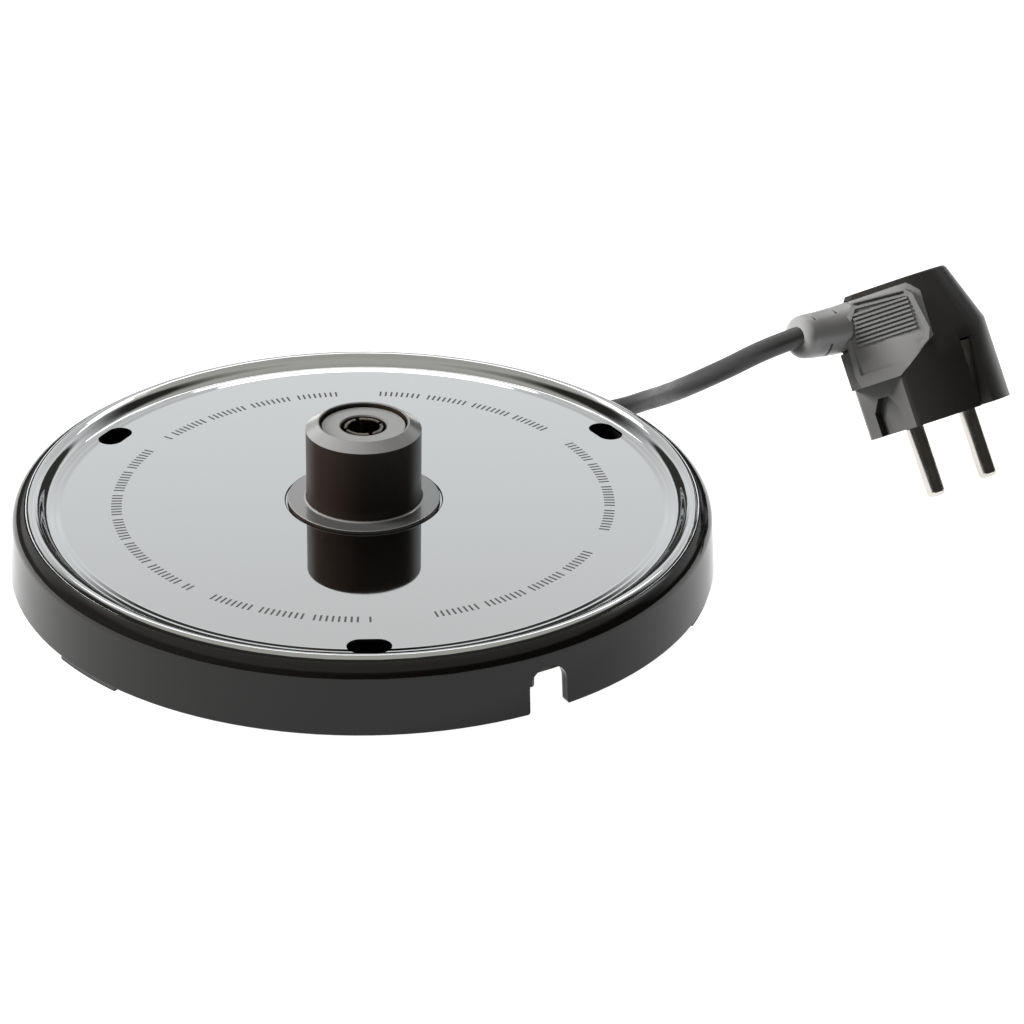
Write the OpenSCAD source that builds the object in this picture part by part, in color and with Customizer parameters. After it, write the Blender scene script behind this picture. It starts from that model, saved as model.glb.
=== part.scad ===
// Kettle base with a central round connector, a cord store underneath and an angled mains plug.
// Origin: centre of the base on the table. +Z is up, -Y is the front. Millimetres.

/* [Housing] */
// Radius of the housing at its bottom edge
base_r = 87.2; // [86:0.1:90]
// Width of the rim, from the plate's edge to the skirt's bottom edge
rim_w = 4.2; // [3.8:0.1:5.2]
// Height of the housing from its bottom edge to the lip round the plate
housing_h = 16.9; // [16:0.1:19]
// How much narrower the skirt is at the shoulder than at the bottom
skirt_draft = 1.0; // [0.4:0.1:1.6]
// Radius of the rounded shoulder
shoulder_r = 3.9; // [3:0.1:4.4]
// Wall of the skirt
skirt_t = 2.2; // [1.6:0.1:2.6]
// Thickness of the web under the plate
web_t = 2.2; // [1.6:0.1:2.6]

/* [Top plate] */
// Thickness of the sheet
plate_t = 0.7; // [0.5:0.1:1]
// Depth of the flat below the housing's lip
plate_sink = 1.7; // [1.2:0.1:2.2]
// Height of the rolled bead above the housing's lip
bead_rise = 1.0; // [0.6:0.1:1.4]
// Width of the rolled bead
bead_w = 2.9; // [2.6:0.1:3.8]
// Width of the step between the flat and the bead
step_w = 3.1; // [2.4:0.1:3.4]

/* [Drain slots] */
// Length of a slot along the rim
slot_l = 10.4; // [8:0.1:12]
// Width of a slot
slot_w = 6.4; // [5:0.1:7]
// Flat left between the slot and the step
slot_gap = 0.8; // [0.4:0.1:2]
// Angle of the first slot
slot_turn = 34; // [32:1:36]

/* [Cable notches] */
// Width of a notch
notch_w = 10; // [9:0.1:11]
// Height of a notch above the skirt's bottom edge
notch_h = 11.2; // [10:0.1:12]
// Angle of the notch that the cord leaves by
notch_turn = 62; // [60:1:64]
// Radius of the rounded corners at the notch's mouth
mouth_r = 1.2; // [0.8:0.1:1.6]

/* [Feet] */
// Height of a foot below the skirt
foot_h = 1.0; // [0.8:0.1:1.2]
// Length of a foot along the skirt
foot_l = 20; // [14:0.5:26]
// Width of a foot
foot_w = 3.6; // [3:0.1:4.2]
// Depth of a foot's seat in the housing
foot_seat = 1.2; // [0.8:0.1:1.6]
// Angle of the first foot
foot_turn = 105; // [102:1:108]

/* [Connector] */
// Radius of the tower
tower_r = 14.2; // [14:0.1:14.6]
// Height of the tower above its flange
tower_h = 20.4; // [19:0.1:22]
// Width of the chamfer round the top
chamfer_w = 2.9; // [2.4:0.1:3]
// Height of the chamfer round the top
chamfer_h = 1.9; // [1.4:0.1:2.4]
// Radius of the flange
flange_r = 18.9; // [18:0.1:20]
// Thickness of the flange
flange_t = 0.7; // [0.6:0.1:1.2]
// Radius of the body below the plate
socket_r = 16; // [15.8:0.1:16.4]
// Wall of the tower
tower_t = 2.2; // [1.8:0.1:2.4]

/* [Shutter] */
// Depth of the shutter's face below the tower's top
shutter_sink = 1.0; // [0.6:0.1:1.4]
// Thickness of the shutter
shutter_t = 2.7; // [2.4:0.1:3]
// Gap between the shutter and the tower
shutter_gap = 0.35; // [0.25:0.05:0.4]
// How far the shutter travels
shutter_travel = 8; // [7:0.5:9]
// Diameter of the spring's wire
spring_wire = 0.9; // [0.7:0.1:1]
// Turns of the spring
spring_turns = 5; // [4:1:6]

/* [Earth socket] */
// Outer radius of the split tube
earth_r = 4.9; // [4.7:0.1:5]
// Bore radius of the split tube
earth_bore = 3.85; // [3.75:0.05:3.95]
// Width of each of the four slits
slit_w = 1.0; // [0.8:0.1:1.1]

/* [Bottom cover] */
// Radius of the drum that the cord is wound on
drum_r = 33; // [32:0.5:34]
// Wall of the cover
cover_t = 1.8; // [1.4:0.1:2]
// Gap left for the cord between the coil and the roof of the store
store_gap = 0.6; // [0.4:0.1:0.8]
// Width of a retaining hook
hook_w = 12; // [9:0.5:14]
// Distance of the cover's screws from the skirt's inner face
screw_inset = 14; // [13:0.5:15]
// Diameter of the screws' thread
screw_d = 3; // [2.6:0.1:3.2]

/* [Mains cord] */
// Diameter of the cord
cord_d = 5.4; // [5:0.1:5.6]

/* [Plug] */
// Diameter of a pin
pin_d = 4.8; // [4.6:0.1:5]
// Length of a pin
pin_l = 19; // [18:0.5:20]
// Distance between the pins
pin_gap = 19; // [18:0.5:20]
// Radius of the plug's round body
plug_r = 19; // [18.5:0.1:19.5]
// Half width of the plug across its flats
plug_flat = 16.6; // [16.2:0.1:16.8]
// Height of the part of the plug that goes into the wall socket
plug_ledge = 13.8; // [13:0.1:14.4]
// Height at which the plug starts to taper
plug_h = 21.6; // [21:0.1:22.5]
// Height of the whole plug body
plug_back = 37.7; // [37:0.1:38.5]
// Height of the cord's axis above the pin face
relief_up = 30.1; // [29.4:0.1:30.4]
// Diameter of the strain relief at the plug
relief_d = 13.1; // [12.6:0.1:13.4]

/* [Hidden] */
$fn = 96;
gap = 0.1;

// Levels of the base, from the table up
skirt_z = foot_h;
lip_z = skirt_z + housing_h;
plate_z = lip_z - plate_sink;
crest_z = lip_z + bead_rise;
web_top = plate_z - plate_t;
web_bot = web_top - web_t;
flange_z = plate_z + flange_t;
tower_top = flange_z + tower_h;

// Levels of the bottom cover
cover_gap = 2.1;
roof_top = web_bot - cover_gap;
roof_bot = roof_top - cover_t;
cord_r = cord_d / 2;
coil_z = roof_bot - store_gap - cord_r;
coil_bot = coil_z - cord_r;
drum_bot = skirt_z + 0.5;
drum_floor = drum_bot + cover_t;

// Radii of the housing
plate_r = base_r - rim_w;
shoulder_out = base_r - skirt_draft;
lip_in = plate_r + gap / 2;
lip_w = 0.2;
shoulder_end = acos((lip_in + lip_w - shoulder_out + shoulder_r) / shoulder_r);
shoulder_zc = lip_z - shoulder_r * sin(shoulder_end);
ledge_w = 2.6;
inner_top_r = shoulder_out - skirt_t;
inner_bot_r = base_r - skirt_t;
ledge_r = inner_top_r - ledge_w;
cover_r = inner_top_r - 0.3;

// Places round the base
turns = [0, 120, 240];
cord_play = 0.6;
hole_r = socket_r + 0.5;
flat_r = plate_r - bead_w - step_w;
slot_at = flat_r - slot_gap - slot_w / 2;
well_t = 0.8;
well_wall = 0.8;
well_bot = roof_top + 0.2;
drain_d = 2.4;
seat_margin = 1.2;
foot_mid_r = base_r - 0.3 - foot_w / 2;
foot_top = skirt_z + foot_seat;
screw_turn = notch_turn + 60;
hook_turn = notch_turn - 40;

// Screws of the cover
screw_pcr = inner_top_r - screw_inset;
pillar_r = 5.4;
pillar_lift = 2.5;
pillar_seat_t = 2.5;
pillar_bot = skirt_z + pillar_lift;
pillar_floor = pillar_bot + pillar_seat_t;
boss_r = 3.5;
boss_bore_h = 9.5;
screw_head_r = 2.9;
screw_head_h = 1.6;
screw_head_taper = 0.3;
cross_l = 3.2;
cross_w = 0.7;
cross_h = 1;

// Inside of the connector
lip_h = 2.1;
top_r = tower_r - chamfer_w;
mouth_in = top_r - 0.5;
well_r = tower_r - tower_t;
shutter_top = tower_top - shutter_sink;
shutter_bot = shutter_top - shutter_t;
shutter_r = mouth_in - shutter_gap;
shutter_rim_r = well_r - 0.3;
shutter_rim_z = tower_top - lip_h - 0.2;
well_floor = flange_z + 0.8;
// The flange and the sheet round the hole sit in a shallow seat, so that the flange clears the flat
seat_d = 0.3;
seat_r = flange_r + 0.4;
seat_slope = 0.3;
socket_bot = 7;
socket_t = 1.8;
lug_h = 2;
ring_bot = web_bot - 2;
ring_r = 20.5;
collar_r = earth_r + 1.3;
collar_top = shutter_bot - shutter_travel - 0.3;
spring_r = (well_r + collar_r) / 2 + 0.9;
earth_top = shutter_top - 0.1;
earth_bot = 9.5;
carrier_t = 1.5;
contact_r = 7.4;
contact_w = 4;
contact_t = 0.5;
contact_turn = 70;
tab_bot = drum_floor + 1.3;

// Earth bond of the plate
stud_off = 5;
stud_at = [0, -ring_r - stud_off];
stud_d = 3;
stud_bot = web_bot - 5.5;
stud_clear_r = 2.2;
tag_t = 0.6;
tag_reach = 5;
nut_r = 3.2;
nut_h = 2.4;

// Route of the cord from the coil to the plug. The first point is on the coil's outer turn.
cord_route = [[-21.8, 49, coil_z], [-12.6, 53, coil_z], [-3.5, 57.1, coil_z], [6, 61.3, coil_z],
    [15, 65.3, coil_z], [24, 69.1, 5.8], [32, 72.5, 5.2], [40, 75.8, 4.2], [47.5, 78, 3.2],
    [55, 78.3, 3.2], [62, 75.9, 5.4], [67.5, 72.5, 8.6], [72, 68.2, 12.4], [75.4, 63, 16.2],
    [78.2, 57, 20.3], [81.2, 51.2, 24.6], [85.4, 46.3, 29.2], [91.6, 43, 34.2], [99.6, 42.4, 39.1],
    [108.6, 45.1, 42]];
// Route of the cord's inner end, from the coil's inner turn into the drum
tail_route = [[31.5, 28.4, coil_z], [25, 33.5, coil_z], [17, 36.1, coil_z], [8.7, 35.8, coil_z],
    [1, 32.7, coil_z], [-4.6, 27.8, coil_z], [-8, 22.5, coil_z], [-9.4, 19.2, coil_z]];
coil_out = 53.6;
coil_in = 42.4;

// The plug stands on the tips of its pins, leaning
plug_heading = 38;
plug_lean = 33;
tip_round = 1.2;
plug_rise = (pin_l - tip_round) * cos(plug_lean) + (pin_d / 2 - tip_round) * sin(plug_lean) + tip_round;
plug_at = [148.7, 52.2, plug_rise];

// Points on an arc in a profile
function arc(cx, cy, r, a0, a1, n) = [for (i = [0:n]) let (a = a0 + (a1 - a0) * i / n)
    [cx + r * cos(a), cy + r * sin(a)]];

function unit(v) = v / norm(v);

// Direction of a route at its point i
function heading(p, i) = unit(p[min(i + 1, len(p) - 1)] - p[max(i - 1, 0)]);

// Ring of points round a route's point, square to the route
function ring(p, i, r, sides) = let (t = heading(p, i), u = unit(cross(t, [0, 0, 1])), v = cross(t, u))
    [for (k = [0:sides - 1]) p[i] + r * (cos(360 * k / sides) * u + sin(360 * k / sides) * v)];

// Round body along a list of points, with its radius at each point
module swept(p, radii, sides) {
    n = len(p);
    points = [for (i = [0:n - 1]) each ring(p, i, radii[i], sides)];
    faces = [for (i = [0:n - 2], k = [0:sides - 1]) let (a = i * sides + k, b = i * sides + (k + 1) % sides)
        [a, b, b + sides, a + sides]];
    first = [for (k = [0:sides - 1]) sides - 1 - k];
    last = [for (k = [0:sides - 1]) (n - 1) * sides + k];
    polyhedron(points, concat(faces, [first, last]));
}

// Round tube along a list of points
module tube(p, r, sides) swept(p, [for (q = p) r], sides);

// Sheet or strip of even thickness whose upper face follows a path
module strip(path, t) {
    n = len(path);
    back = [for (i = [n - 1:-1:0]) let (d = heading(path, i)) path[i] + t * [d[1], -d[0]]];
    polygon(concat(path, back));
}

// Slot with round ends, along Y
module round_slot(l, w, h) {
    linear_extrude(h) {
        square([w, l - w], center = true);
        for (y = [-1, 1]) translate([0, y * (l - w) / 2]) circle(d = w, $fn = 48);
    }
}

// Upper face of the plate's section, from the centre hole to the turned-down edge
plate_edge_r = 1.5;
bead_peak = plate_r - plate_edge_r;
bead_in = flat_r + step_w;
bead_slope = 0.35;
step_ease = 1.3;
step_path = [for (i = [1:12]) let (f = i / 12)
    [flat_r + step_w * f, plate_z + (crest_z - bead_slope - plate_z) * (1 - cos(180 * pow(f, step_ease))) / 2]];
bead_path = [for (i = [1:4]) let (f = i / 4)
    [bead_in + (bead_peak - bead_in) * f, crest_z - bead_slope * (1 - f) * (1 - f)]];
plate_path = concat([[hole_r, plate_z - seat_d], [seat_r, plate_z - seat_d], [seat_r + seat_slope, plate_z],
    [flat_r, plate_z]], step_path, bead_path,
    arc(bead_peak, crest_z - plate_edge_r, plate_edge_r, 80, 0, 8), [[plate_r, web_top + gap]]);

module top_plate() color([0.80, 0.81, 0.81]) difference() {
    rotate_extrude($fn = 180) strip(plate_path, plate_t);
    for (a = turns) rotate(slot_turn + a) translate([slot_at, 0, web_top - 1]) round_slot(slot_l, slot_w, 5);
}

// Section of the housing
skirt_edge_r = 0.5;
lip_edge = 0.15;
housing_section = concat([[inner_bot_r, skirt_z], [base_r - skirt_edge_r, skirt_z]],
    arc(base_r - skirt_edge_r, skirt_z + skirt_edge_r, skirt_edge_r, -60, 0, 3),
    arc(shoulder_out - shoulder_r, shoulder_zc, shoulder_r, 0, shoulder_end, 12),
    [[lip_in + lip_edge, lip_z], [lip_in, lip_z - lip_edge], [lip_in, web_top],
    [seat_r + seat_slope + gap, web_top], [seat_r + gap, web_top - seat_d], [hole_r, web_top - seat_d],
    [hole_r, web_bot], [ledge_r, web_bot], [ledge_r, roof_top], [inner_top_r, roof_top]]);

// Outline of a cable notch, seen from outside. Its rounded corners end a little below the skirt's edge.
mouth_dip = 0.1;
module notch_outline() {
    r = notch_w / 2;
    translate([0, skirt_z]) {
        translate([-r, -2]) square([notch_w, notch_h - r + 2]);
        translate([0, notch_h - r]) circle(r);
        difference() {
            translate([-r - mouth_r, -2]) square([notch_w + 2 * mouth_r, mouth_r - mouth_dip + 2]);
            for (x = [-1, 1]) translate([x * (r + mouth_r), mouth_r - mouth_dip]) circle(mouth_r, $fn = 32);
        }
    }
}

// Curved block between two radii
module sector(r0, r1, angle, h) {
    rotate(-angle / 2) rotate_extrude(angle = angle, $fn = 180) translate([r0, 0]) square([r1 - r0, h]);
}

foot_angle = foot_l / foot_mid_r * 180 / PI;
pad_angle = foot_angle + 3;
pad_in_r = foot_mid_r - foot_w / 2 - seat_margin;
skirt_in = 0.5;

// Thick place of the skirt that carries a foot
module foot_pad() intersection() {
    translate([0, 0, skirt_z]) sector(pad_in_r, inner_bot_r + skirt_in, pad_angle, web_bot - skirt_z);
    cylinder(r1 = base_r - skirt_in, r2 = shoulder_out - skirt_in, h = web_bot);
}

// Well under a drain slot, with the drain hole at its low end
well_lip = 1.2;
drain_at = [1.4, slot_l / 2 - 0.4];
module drain_well() translate([slot_at, 0, well_bot])
    round_slot(slot_l + 2 * (well_lip + well_wall), slot_w + 2 * (well_lip + well_wall), web_bot - roof_top);
module drain_hollow() translate([slot_at, 0, 0]) {
    translate([0, 0, well_bot + well_t]) round_slot(slot_l + 2 * well_lip, slot_w + 2 * well_lip, 8);
    translate([drain_at[0], drain_at[1], roof_top - 1]) cylinder(d = drain_d, h = 4, $fn = 32);
}

module housing() color([0.02, 0.02, 0.02]) difference() {
    union() {
        rotate_extrude($fn = 180) polygon(housing_section);
        for (a = turns) {
            rotate(foot_turn + a) foot_pad();
            rotate(slot_turn + a) drain_well();
            // Bosses for the cover's screws
            rotate(screw_turn + a) translate([screw_pcr, 0, pillar_floor])
                cylinder(r = boss_r, h = web_bot - pillar_floor + 1);
        }
    }
    for (a = turns) {
        rotate(notch_turn + a) translate([base_r - 8, 0, 0]) rotate([90, 0, 90])
            linear_extrude(12) notch_outline();
        rotate(foot_turn + a) translate([0, 0, skirt_z - 1])
            sector(foot_mid_r - foot_w / 2, foot_mid_r + foot_w / 2, foot_angle, foot_seat + 1);
        rotate(screw_turn + a) translate([screw_pcr, 0, pillar_floor - 1])
            cylinder(d = screw_d + 0.2, h = boss_bore_h, $fn = 32);
        rotate(slot_turn + a) drain_hollow();
    }
    // Clearance round the plate's stud
    translate([stud_at[0], stud_at[1], web_bot - 1]) cylinder(r = stud_clear_r, h = web_t + 2, $fn = 32);
}

// Guide that leads the cord out of a notch: a curved fin under the roof
fin_t = 1;
fin_h = 4.6;
fin_in = cover_r - 14.7;
fin_l = 12.5;
fin_bow = 2.4;
fin_path = [for (i = [0:6]) let (f = i / 6, a = -9 + 8.5 * f, r = fin_in + fin_l * f - fin_bow * sin(180 * f))
    r * [cos(a), sin(a)]];
module guide_fin() translate([0, 0, roof_bot - fin_h]) linear_extrude(fin_h + 0.4) strip(fin_path, fin_t);

// Hook under the coil, with a raised end
hook_tip = 1;
hook_reach = coil_out + cord_r + 1 + hook_tip - drum_r;
module retaining_hook() {
    translate([drum_r - 1, -hook_w / 2, drum_bot]) cube([hook_reach + 1, hook_w, cover_t - 0.2]);
    translate([drum_r + hook_reach - hook_tip, -hook_w / 2, drum_bot]) cube([hook_tip, hook_w, cover_t + 1]);
}

// Wall that keeps the coil in behind a hook
coil_wall_r = coil_out + cord_r + 3.1;
coil_wall_t = 1.4;
coil_wall_angle = 28;
module coil_wall() translate([0, 0, coil_bot + 1])
    sector(coil_wall_r, coil_wall_r + coil_wall_t, coil_wall_angle, roof_bot - coil_bot);

rib_turns = [-20, -42];
cover_rib_t = 1.2;
cover_rib_h = 3;
module cover_rib() translate([coil_wall_r + 0.6, -cover_rib_t / 2, roof_bot - cover_rib_h])
    cube([cover_r - coil_wall_r - 1.6, cover_rib_t, cover_rib_h + 0.5]);

// Half section of the cover: drum, wall of the drum and roof of the cord store
cover_section = [[0, drum_bot], [drum_r - 1, drum_bot], [drum_r, drum_bot + 1], [drum_r, roof_bot],
    [cover_r, roof_bot], [cover_r, roof_top], [drum_r - cover_t, roof_top], [drum_r - cover_t, drum_floor],
    [0, drum_floor]];

// Hollow of a pillar: seat of the boss, hole for the screw and recess for its head
module pillar_hollow() translate([screw_pcr, 0, 0]) {
    translate([0, 0, pillar_floor]) cylinder(r = boss_r + 0.2, h = roof_top);
    cylinder(d = screw_d + 0.4, h = roof_top, $fn = 32);
    translate([0, 0, pillar_bot - 1]) cylinder(r = screw_head_r + 0.3, h = 1 + screw_head_h, $fn = 48);
}

door_l = 22;
door_at = [5, 33.5];
door_turn = 30;

module bottom_cover() color([0.05, 0.05, 0.05]) difference() {
    union() {
        rotate_extrude($fn = 180) polygon(cover_section);
        for (a = turns) {
            rotate(hook_turn + a) retaining_hook();
            rotate(hook_turn + a) coil_wall();
            rotate(notch_turn + a) guide_fin();
            for (b = rib_turns) rotate(notch_turn + a + b) cover_rib();
            // Pillars that the cover's screws pass through
            rotate(screw_turn + a) translate([screw_pcr, 0, pillar_bot])
                cylinder(r = pillar_r, h = roof_top - pillar_bot);
        }
        // Posts that the cord clamp is screwed to
        clamp_pair() translate([0, 0, drum_bot + 1]) cylinder(r = clamp_post_r, h = clamp_z - drum_bot - 1);
    }
    for (a = turns) {
        // Windows over the hooks
        rotate(hook_turn + a) translate([drum_r + 1.5, -hook_w / 2 - 0.5, roof_bot - 1])
            cube([coil_out + cord_r - drum_r + 1, hook_w + 1, cover_t + 2]);
        // Room for the thick places of the skirt
        rotate(foot_turn + a) translate([0, 0, roof_bot - 1])
            sector(pad_in_r - 0.3, cover_r + 1, pad_angle + 0.8, cover_t + 2);
        rotate(screw_turn + a) pillar_hollow();
    }
    // Opening in the drum for the cord
    translate([door_at[0], door_at[1], drum_floor]) rotate(door_turn)
        translate([-door_l / 2, -cord_r - cord_play, 0])
            cube([door_l, cord_d + 2 * cord_play, roof_bot - drum_floor]);
    clamp_pair() translate([0, 0, drum_floor]) cylinder(d = clamp_screw_d + 0.1, h = roof_top, $fn = 32);
}

clamp_screw_d = 2;
clamp_head_r = 1.8;
clamp_head_h = 0.7;

module cord_clamp() color([0.12, 0.12, 0.12]) difference() {
    clamp_place() translate([0, 0, clamp_z])
        round_slot(2 * clamp_screw_at + 2 * clamp_post_r, 2 * clamp_post_r, clamp_t);
    clamp_pair() translate([0, 0, clamp_z - 1]) cylinder(d = clamp_screw_d + 0.2, h = clamp_t + 2, $fn = 32);
}

module clamp_screws() color([0.70, 0.71, 0.72]) clamp_pair() {
    translate([0, 0, drum_floor + 0.5])
        cylinder(d = clamp_screw_d, h = clamp_z + clamp_t - drum_floor - 0.5, $fn = 32);
    translate([0, 0, clamp_z + clamp_t]) cylinder(r = clamp_head_r, h = clamp_head_h, $fn = 32);
}

clamp_screw_at = cord_r + 2.2;
clamp_post_r = 2;
clamp_t = 1.6;
clamp_z = coil_z + cord_r + gap;
clamp_at = [-7.2, 24];
module clamp_place() translate(clamp_at) rotate(60) children();
module clamp_pair() clamp_place() for (y = [-1, 1]) translate([0, y * clamp_screw_at, 0]) children();

module cover_screws() color([0.70, 0.71, 0.72]) for (a = turns)
    rotate(screw_turn + a) translate([screw_pcr, 0, pillar_bot]) difference() {
        union() {
            cylinder(r1 = screw_head_r - screw_head_taper, r2 = screw_head_r, h = screw_head_h, $fn = 48);
            cylinder(d = screw_d, h = web_bot - pillar_bot, $fn = 32);
        }
        // Cross recess
        for (t = [0, 90]) rotate(t) translate([-cross_l / 2, -cross_w / 2, -cross_h])
            cube([cross_l, cross_w, 2 * cross_h]);
    }

module foot() {
    sector(foot_mid_r - foot_w / 2 + gap, foot_mid_r + foot_w / 2 - gap, foot_angle - 0.2, foot_top);
}

module foot_rear() color([0.06, 0.06, 0.06]) rotate(foot_turn) foot();
module foot_left() color([0.06, 0.06, 0.06]) rotate(foot_turn + 120) foot();
module foot_right() color([0.06, 0.06, 0.06]) rotate(foot_turn + 240) foot();

// Half section of the connector: collar round the socket, skirt below the plate, flange, tower and its mouth
flange_edge_r = 0.3;
tower_foot_r = 0.8;
earth_play = 0.15;
mouth_edge = 0.2;
connector_section = concat([[collar_r, well_floor], [collar_r, collar_top],
    [earth_r + earth_play, collar_top], [earth_r + earth_play, plate_z - socket_t],
    [socket_r - socket_t, plate_z - socket_t],
    [socket_r - socket_t, socket_bot], [socket_r, socket_bot], [socket_r, plate_z - seat_d],
    [flange_r - flange_edge_r, plate_z - seat_d]],
    arc(flange_r - flange_edge_r, flange_z - flange_edge_r, flange_edge_r, 0, 90, 4),
    arc(tower_r + tower_foot_r, flange_z + tower_foot_r, tower_foot_r, 270, 180, 5),
    [[tower_r, tower_top - chamfer_h], [top_r, tower_top], [mouth_in + mouth_edge, tower_top],
    [mouth_in, tower_top - mouth_edge], [mouth_in, tower_top - lip_h], [well_r, tower_top - lip_h],
    [well_r, well_floor]]);

contact_play = 0.3;
window_w = 12;
window_h = 3;

module connector_body() color([0.10, 0.09, 0.08]) difference() {
    union() {
        rotate_extrude() polygon(connector_section);
        // Lugs that hold the lock ring
        for (a = turns) rotate(a + 30) translate([0, 0, ring_bot - lug_h])
            sector(socket_r - 0.5, ring_r - 1.5, 24, lug_h);
    }
    // Slots for the contacts
    for (a = [contact_turn, contact_turn + 180]) rotate(a)
        translate([contact_r - 1.2, -contact_w / 2 - contact_play, plate_z - 3])
            cube([2.6, contact_w + 2 * contact_play, 6]);
    // Windows for the leads
    for (y = [-1, 1]) translate([0, y * socket_r, socket_bot])
        cube([window_w, 2 * socket_t + 4, 2 * window_h], center = true);
}

notch_count = 12;
module connector_lock_ring() color([0.12, 0.12, 0.12]) translate([0, 0, ring_bot]) difference() {
    cylinder(r = ring_r, h = web_bot - ring_bot);
    translate([0, 0, -1]) cylinder(r = socket_r + 0.2, h = 4);
    for (i = [0:notch_count - 1]) rotate(360 * i / notch_count) translate([ring_r + 0.4, 0, -1])
        cylinder(r = 1.4, h = 4, $fn = 32);
}

shutter_hole_r = earth_r + 0.75;
shutter_edge = 0.3;
module shutter_disc() color([0.13, 0.12, 0.11]) rotate_extrude() polygon([[shutter_hole_r, shutter_bot],
    [shutter_rim_r, shutter_bot], [shutter_rim_r, shutter_rim_z], [shutter_r, shutter_rim_z],
    [shutter_r, shutter_top - shutter_edge], [shutter_r - shutter_edge, shutter_top],
    [shutter_hole_r + shutter_edge, shutter_top], [shutter_hole_r, shutter_top - shutter_edge]]);

// Line of the spring, between the well's floor and the shutter
spring_steps = spring_turns * 14;
spring_low = well_floor + spring_wire / 2 + gap / 2;
spring_high = shutter_bot - spring_wire / 2 - gap / 2;
spring_path = [for (i = [0:spring_steps]) let (f = i / spring_steps, a = 360 * spring_turns * f)
    [spring_r * cos(a), spring_r * sin(a), spring_low + (spring_high - spring_low) * f]];

module shutter_spring() color([0.75, 0.75, 0.76]) tube(spring_path, spring_wire / 2, 6);

rim_round = 0.5;
slit_turn = 25;
slit_h = 9;
module earth_socket() color([0.80, 0.79, 0.76]) difference() {
    rotate_extrude() polygon(concat([[earth_bore, earth_bot], [earth_r, earth_bot]],
        arc(earth_r - rim_round, earth_top - rim_round, rim_round, 0, 90, 5),
        arc(earth_bore + rim_round, earth_top - rim_round, rim_round, 90, 180, 5)));
    for (a = [0, 90]) rotate(slit_turn + a) translate([-2 * earth_r, -slit_w / 2, earth_top - slit_h])
        cube([4 * earth_r, slit_w, slit_h + 1]);
}

// Leaf contact in the ring between the socket and the spring, with its tab below
contact_path = [[contact_r, tab_bot], [contact_r, plate_z + 2], [contact_r + 0.2, plate_z + 3.4],
    [contact_r + 0.8, plate_z + 4.6], [contact_r + 0.2, plate_z + 5.8], [contact_r - 0.4, plate_z + 6.6]];
module leaf_contact(turn) {
    rotate(turn) translate([0, contact_w / 2, 0]) rotate([90, 0, 0])
        linear_extrude(contact_w) strip(contact_path, contact_t);
}
module live_contact() color([0.80, 0.60, 0.35]) leaf_contact(contact_turn);
module neutral_contact() color([0.80, 0.60, 0.35]) leaf_contact(contact_turn + 180);

carrier_hole_r = 2.6;
carrier_cut = 4.7;
module terminal_carrier() color([0.85, 0.83, 0.78]) translate([0, 0, socket_bot]) difference() {
    cylinder(r = socket_r - socket_t - gap / 2, h = carrier_t);
    for (a = [contact_turn, contact_turn + 180]) rotate(a)
        translate([contact_r - gap, -contact_w / 2 - gap, -1])
            cube([contact_t + 2 * gap, contact_w + 2 * gap, carrier_t + 2]);
    translate([0, 0, -1]) cylinder(r = carrier_hole_r, h = carrier_t + 2, $fn = 48);
    // Cuts that the leads pass through
    for (y = [-1, 1]) translate([0, y * socket_r, 0])
        cube([window_w, 2 * (socket_t + carrier_cut), 2 * carrier_t + 2], center = true);
}

// Leads from the cord's end to the contacts, the earth socket and the plate's stud
lead_r = 0.95;
live_route = [[-8.6, 18.4, 5.5], [-8.9, 17, 5.4], [-7.6, 14.8, 5.3], [-4.6, 13, 5.3], [-0.5, 12.3, 5.3],
    [2.6, 11.2, 5.4], [3.3, 9.6, 5.5], [2.75, 7.6, 5.5]];
neutral_route = [[-10.6, 19.1, 5.5], [-11.5, 17, 5.4], [-13.2, 13, 5.3], [-14, 6, 5.3], [-13, -1.5, 5.3],
    [-10.4, -7.6, 5.3], [-7.2, -11.4, 5.4], [-4.8, -11.9, 5.5], [-3.6, -10.2, 5.5], [-2.75, -7.6, 5.5]];
earth_route = [[-9.7, 18.6, 7.3], [-9.9, 17.6, 7.5], [-8.6, 16.7, 7.9], [-6, 16.5, 8.3], [-4, 15.6, 8.6],
    [-3.2, 13.6, 8.7], [-2.9, 11.4, 9.3], [-2.4, 8.8, 10.4], [-1.8, 6.6, 11.1], [-1.3, 4.85, 11.3]];
tag_play = 0.2;
bond_route = [[1.3, -4.85, 11.3], [1.9, -7, 11.2], [2.4, -10, 10], [2.6, -13, 8.4], [2.4, -17, 7.9],
    [1.4, stud_at[1] + 5.3, 8.3], [0.3, stud_at[1] + 4, 10.2],
    [0, stud_at[1] + 3.9, web_bot - tag_t - tag_play]];

module live_lead() color([0.35, 0.18, 0.10]) tube(live_route, lead_r, 8);
module neutral_lead() color([0.10, 0.25, 0.60]) tube(neutral_route, lead_r, 8);
module earth_lead() color([0.35, 0.60, 0.15]) tube(earth_route, lead_r, 8);

module bond_lead() color([0.35, 0.60, 0.15]) tube(bond_route, lead_r, 8);

// Ring tag that the bond lead is crimped to
tag_z = web_bot - tag_t;
module bond_tag() color([0.78, 0.74, 0.60]) translate([stud_at[0], stud_at[1], tag_z]) difference() {
    union() {
        cylinder(r = nut_r, h = tag_t, $fn = 48);
        translate([-lead_r, 0, 0]) cube([2 * lead_r, tag_reach, tag_t]);
    }
    translate([0, 0, -1]) cylinder(d = stud_d + 0.2, h = 3, $fn = 48);
}

module earth_stud() color([0.78, 0.78, 0.78]) translate([stud_at[0], stud_at[1], stud_bot])
    cylinder(d = stud_d, h = web_top - stud_bot, $fn = 48);

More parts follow.
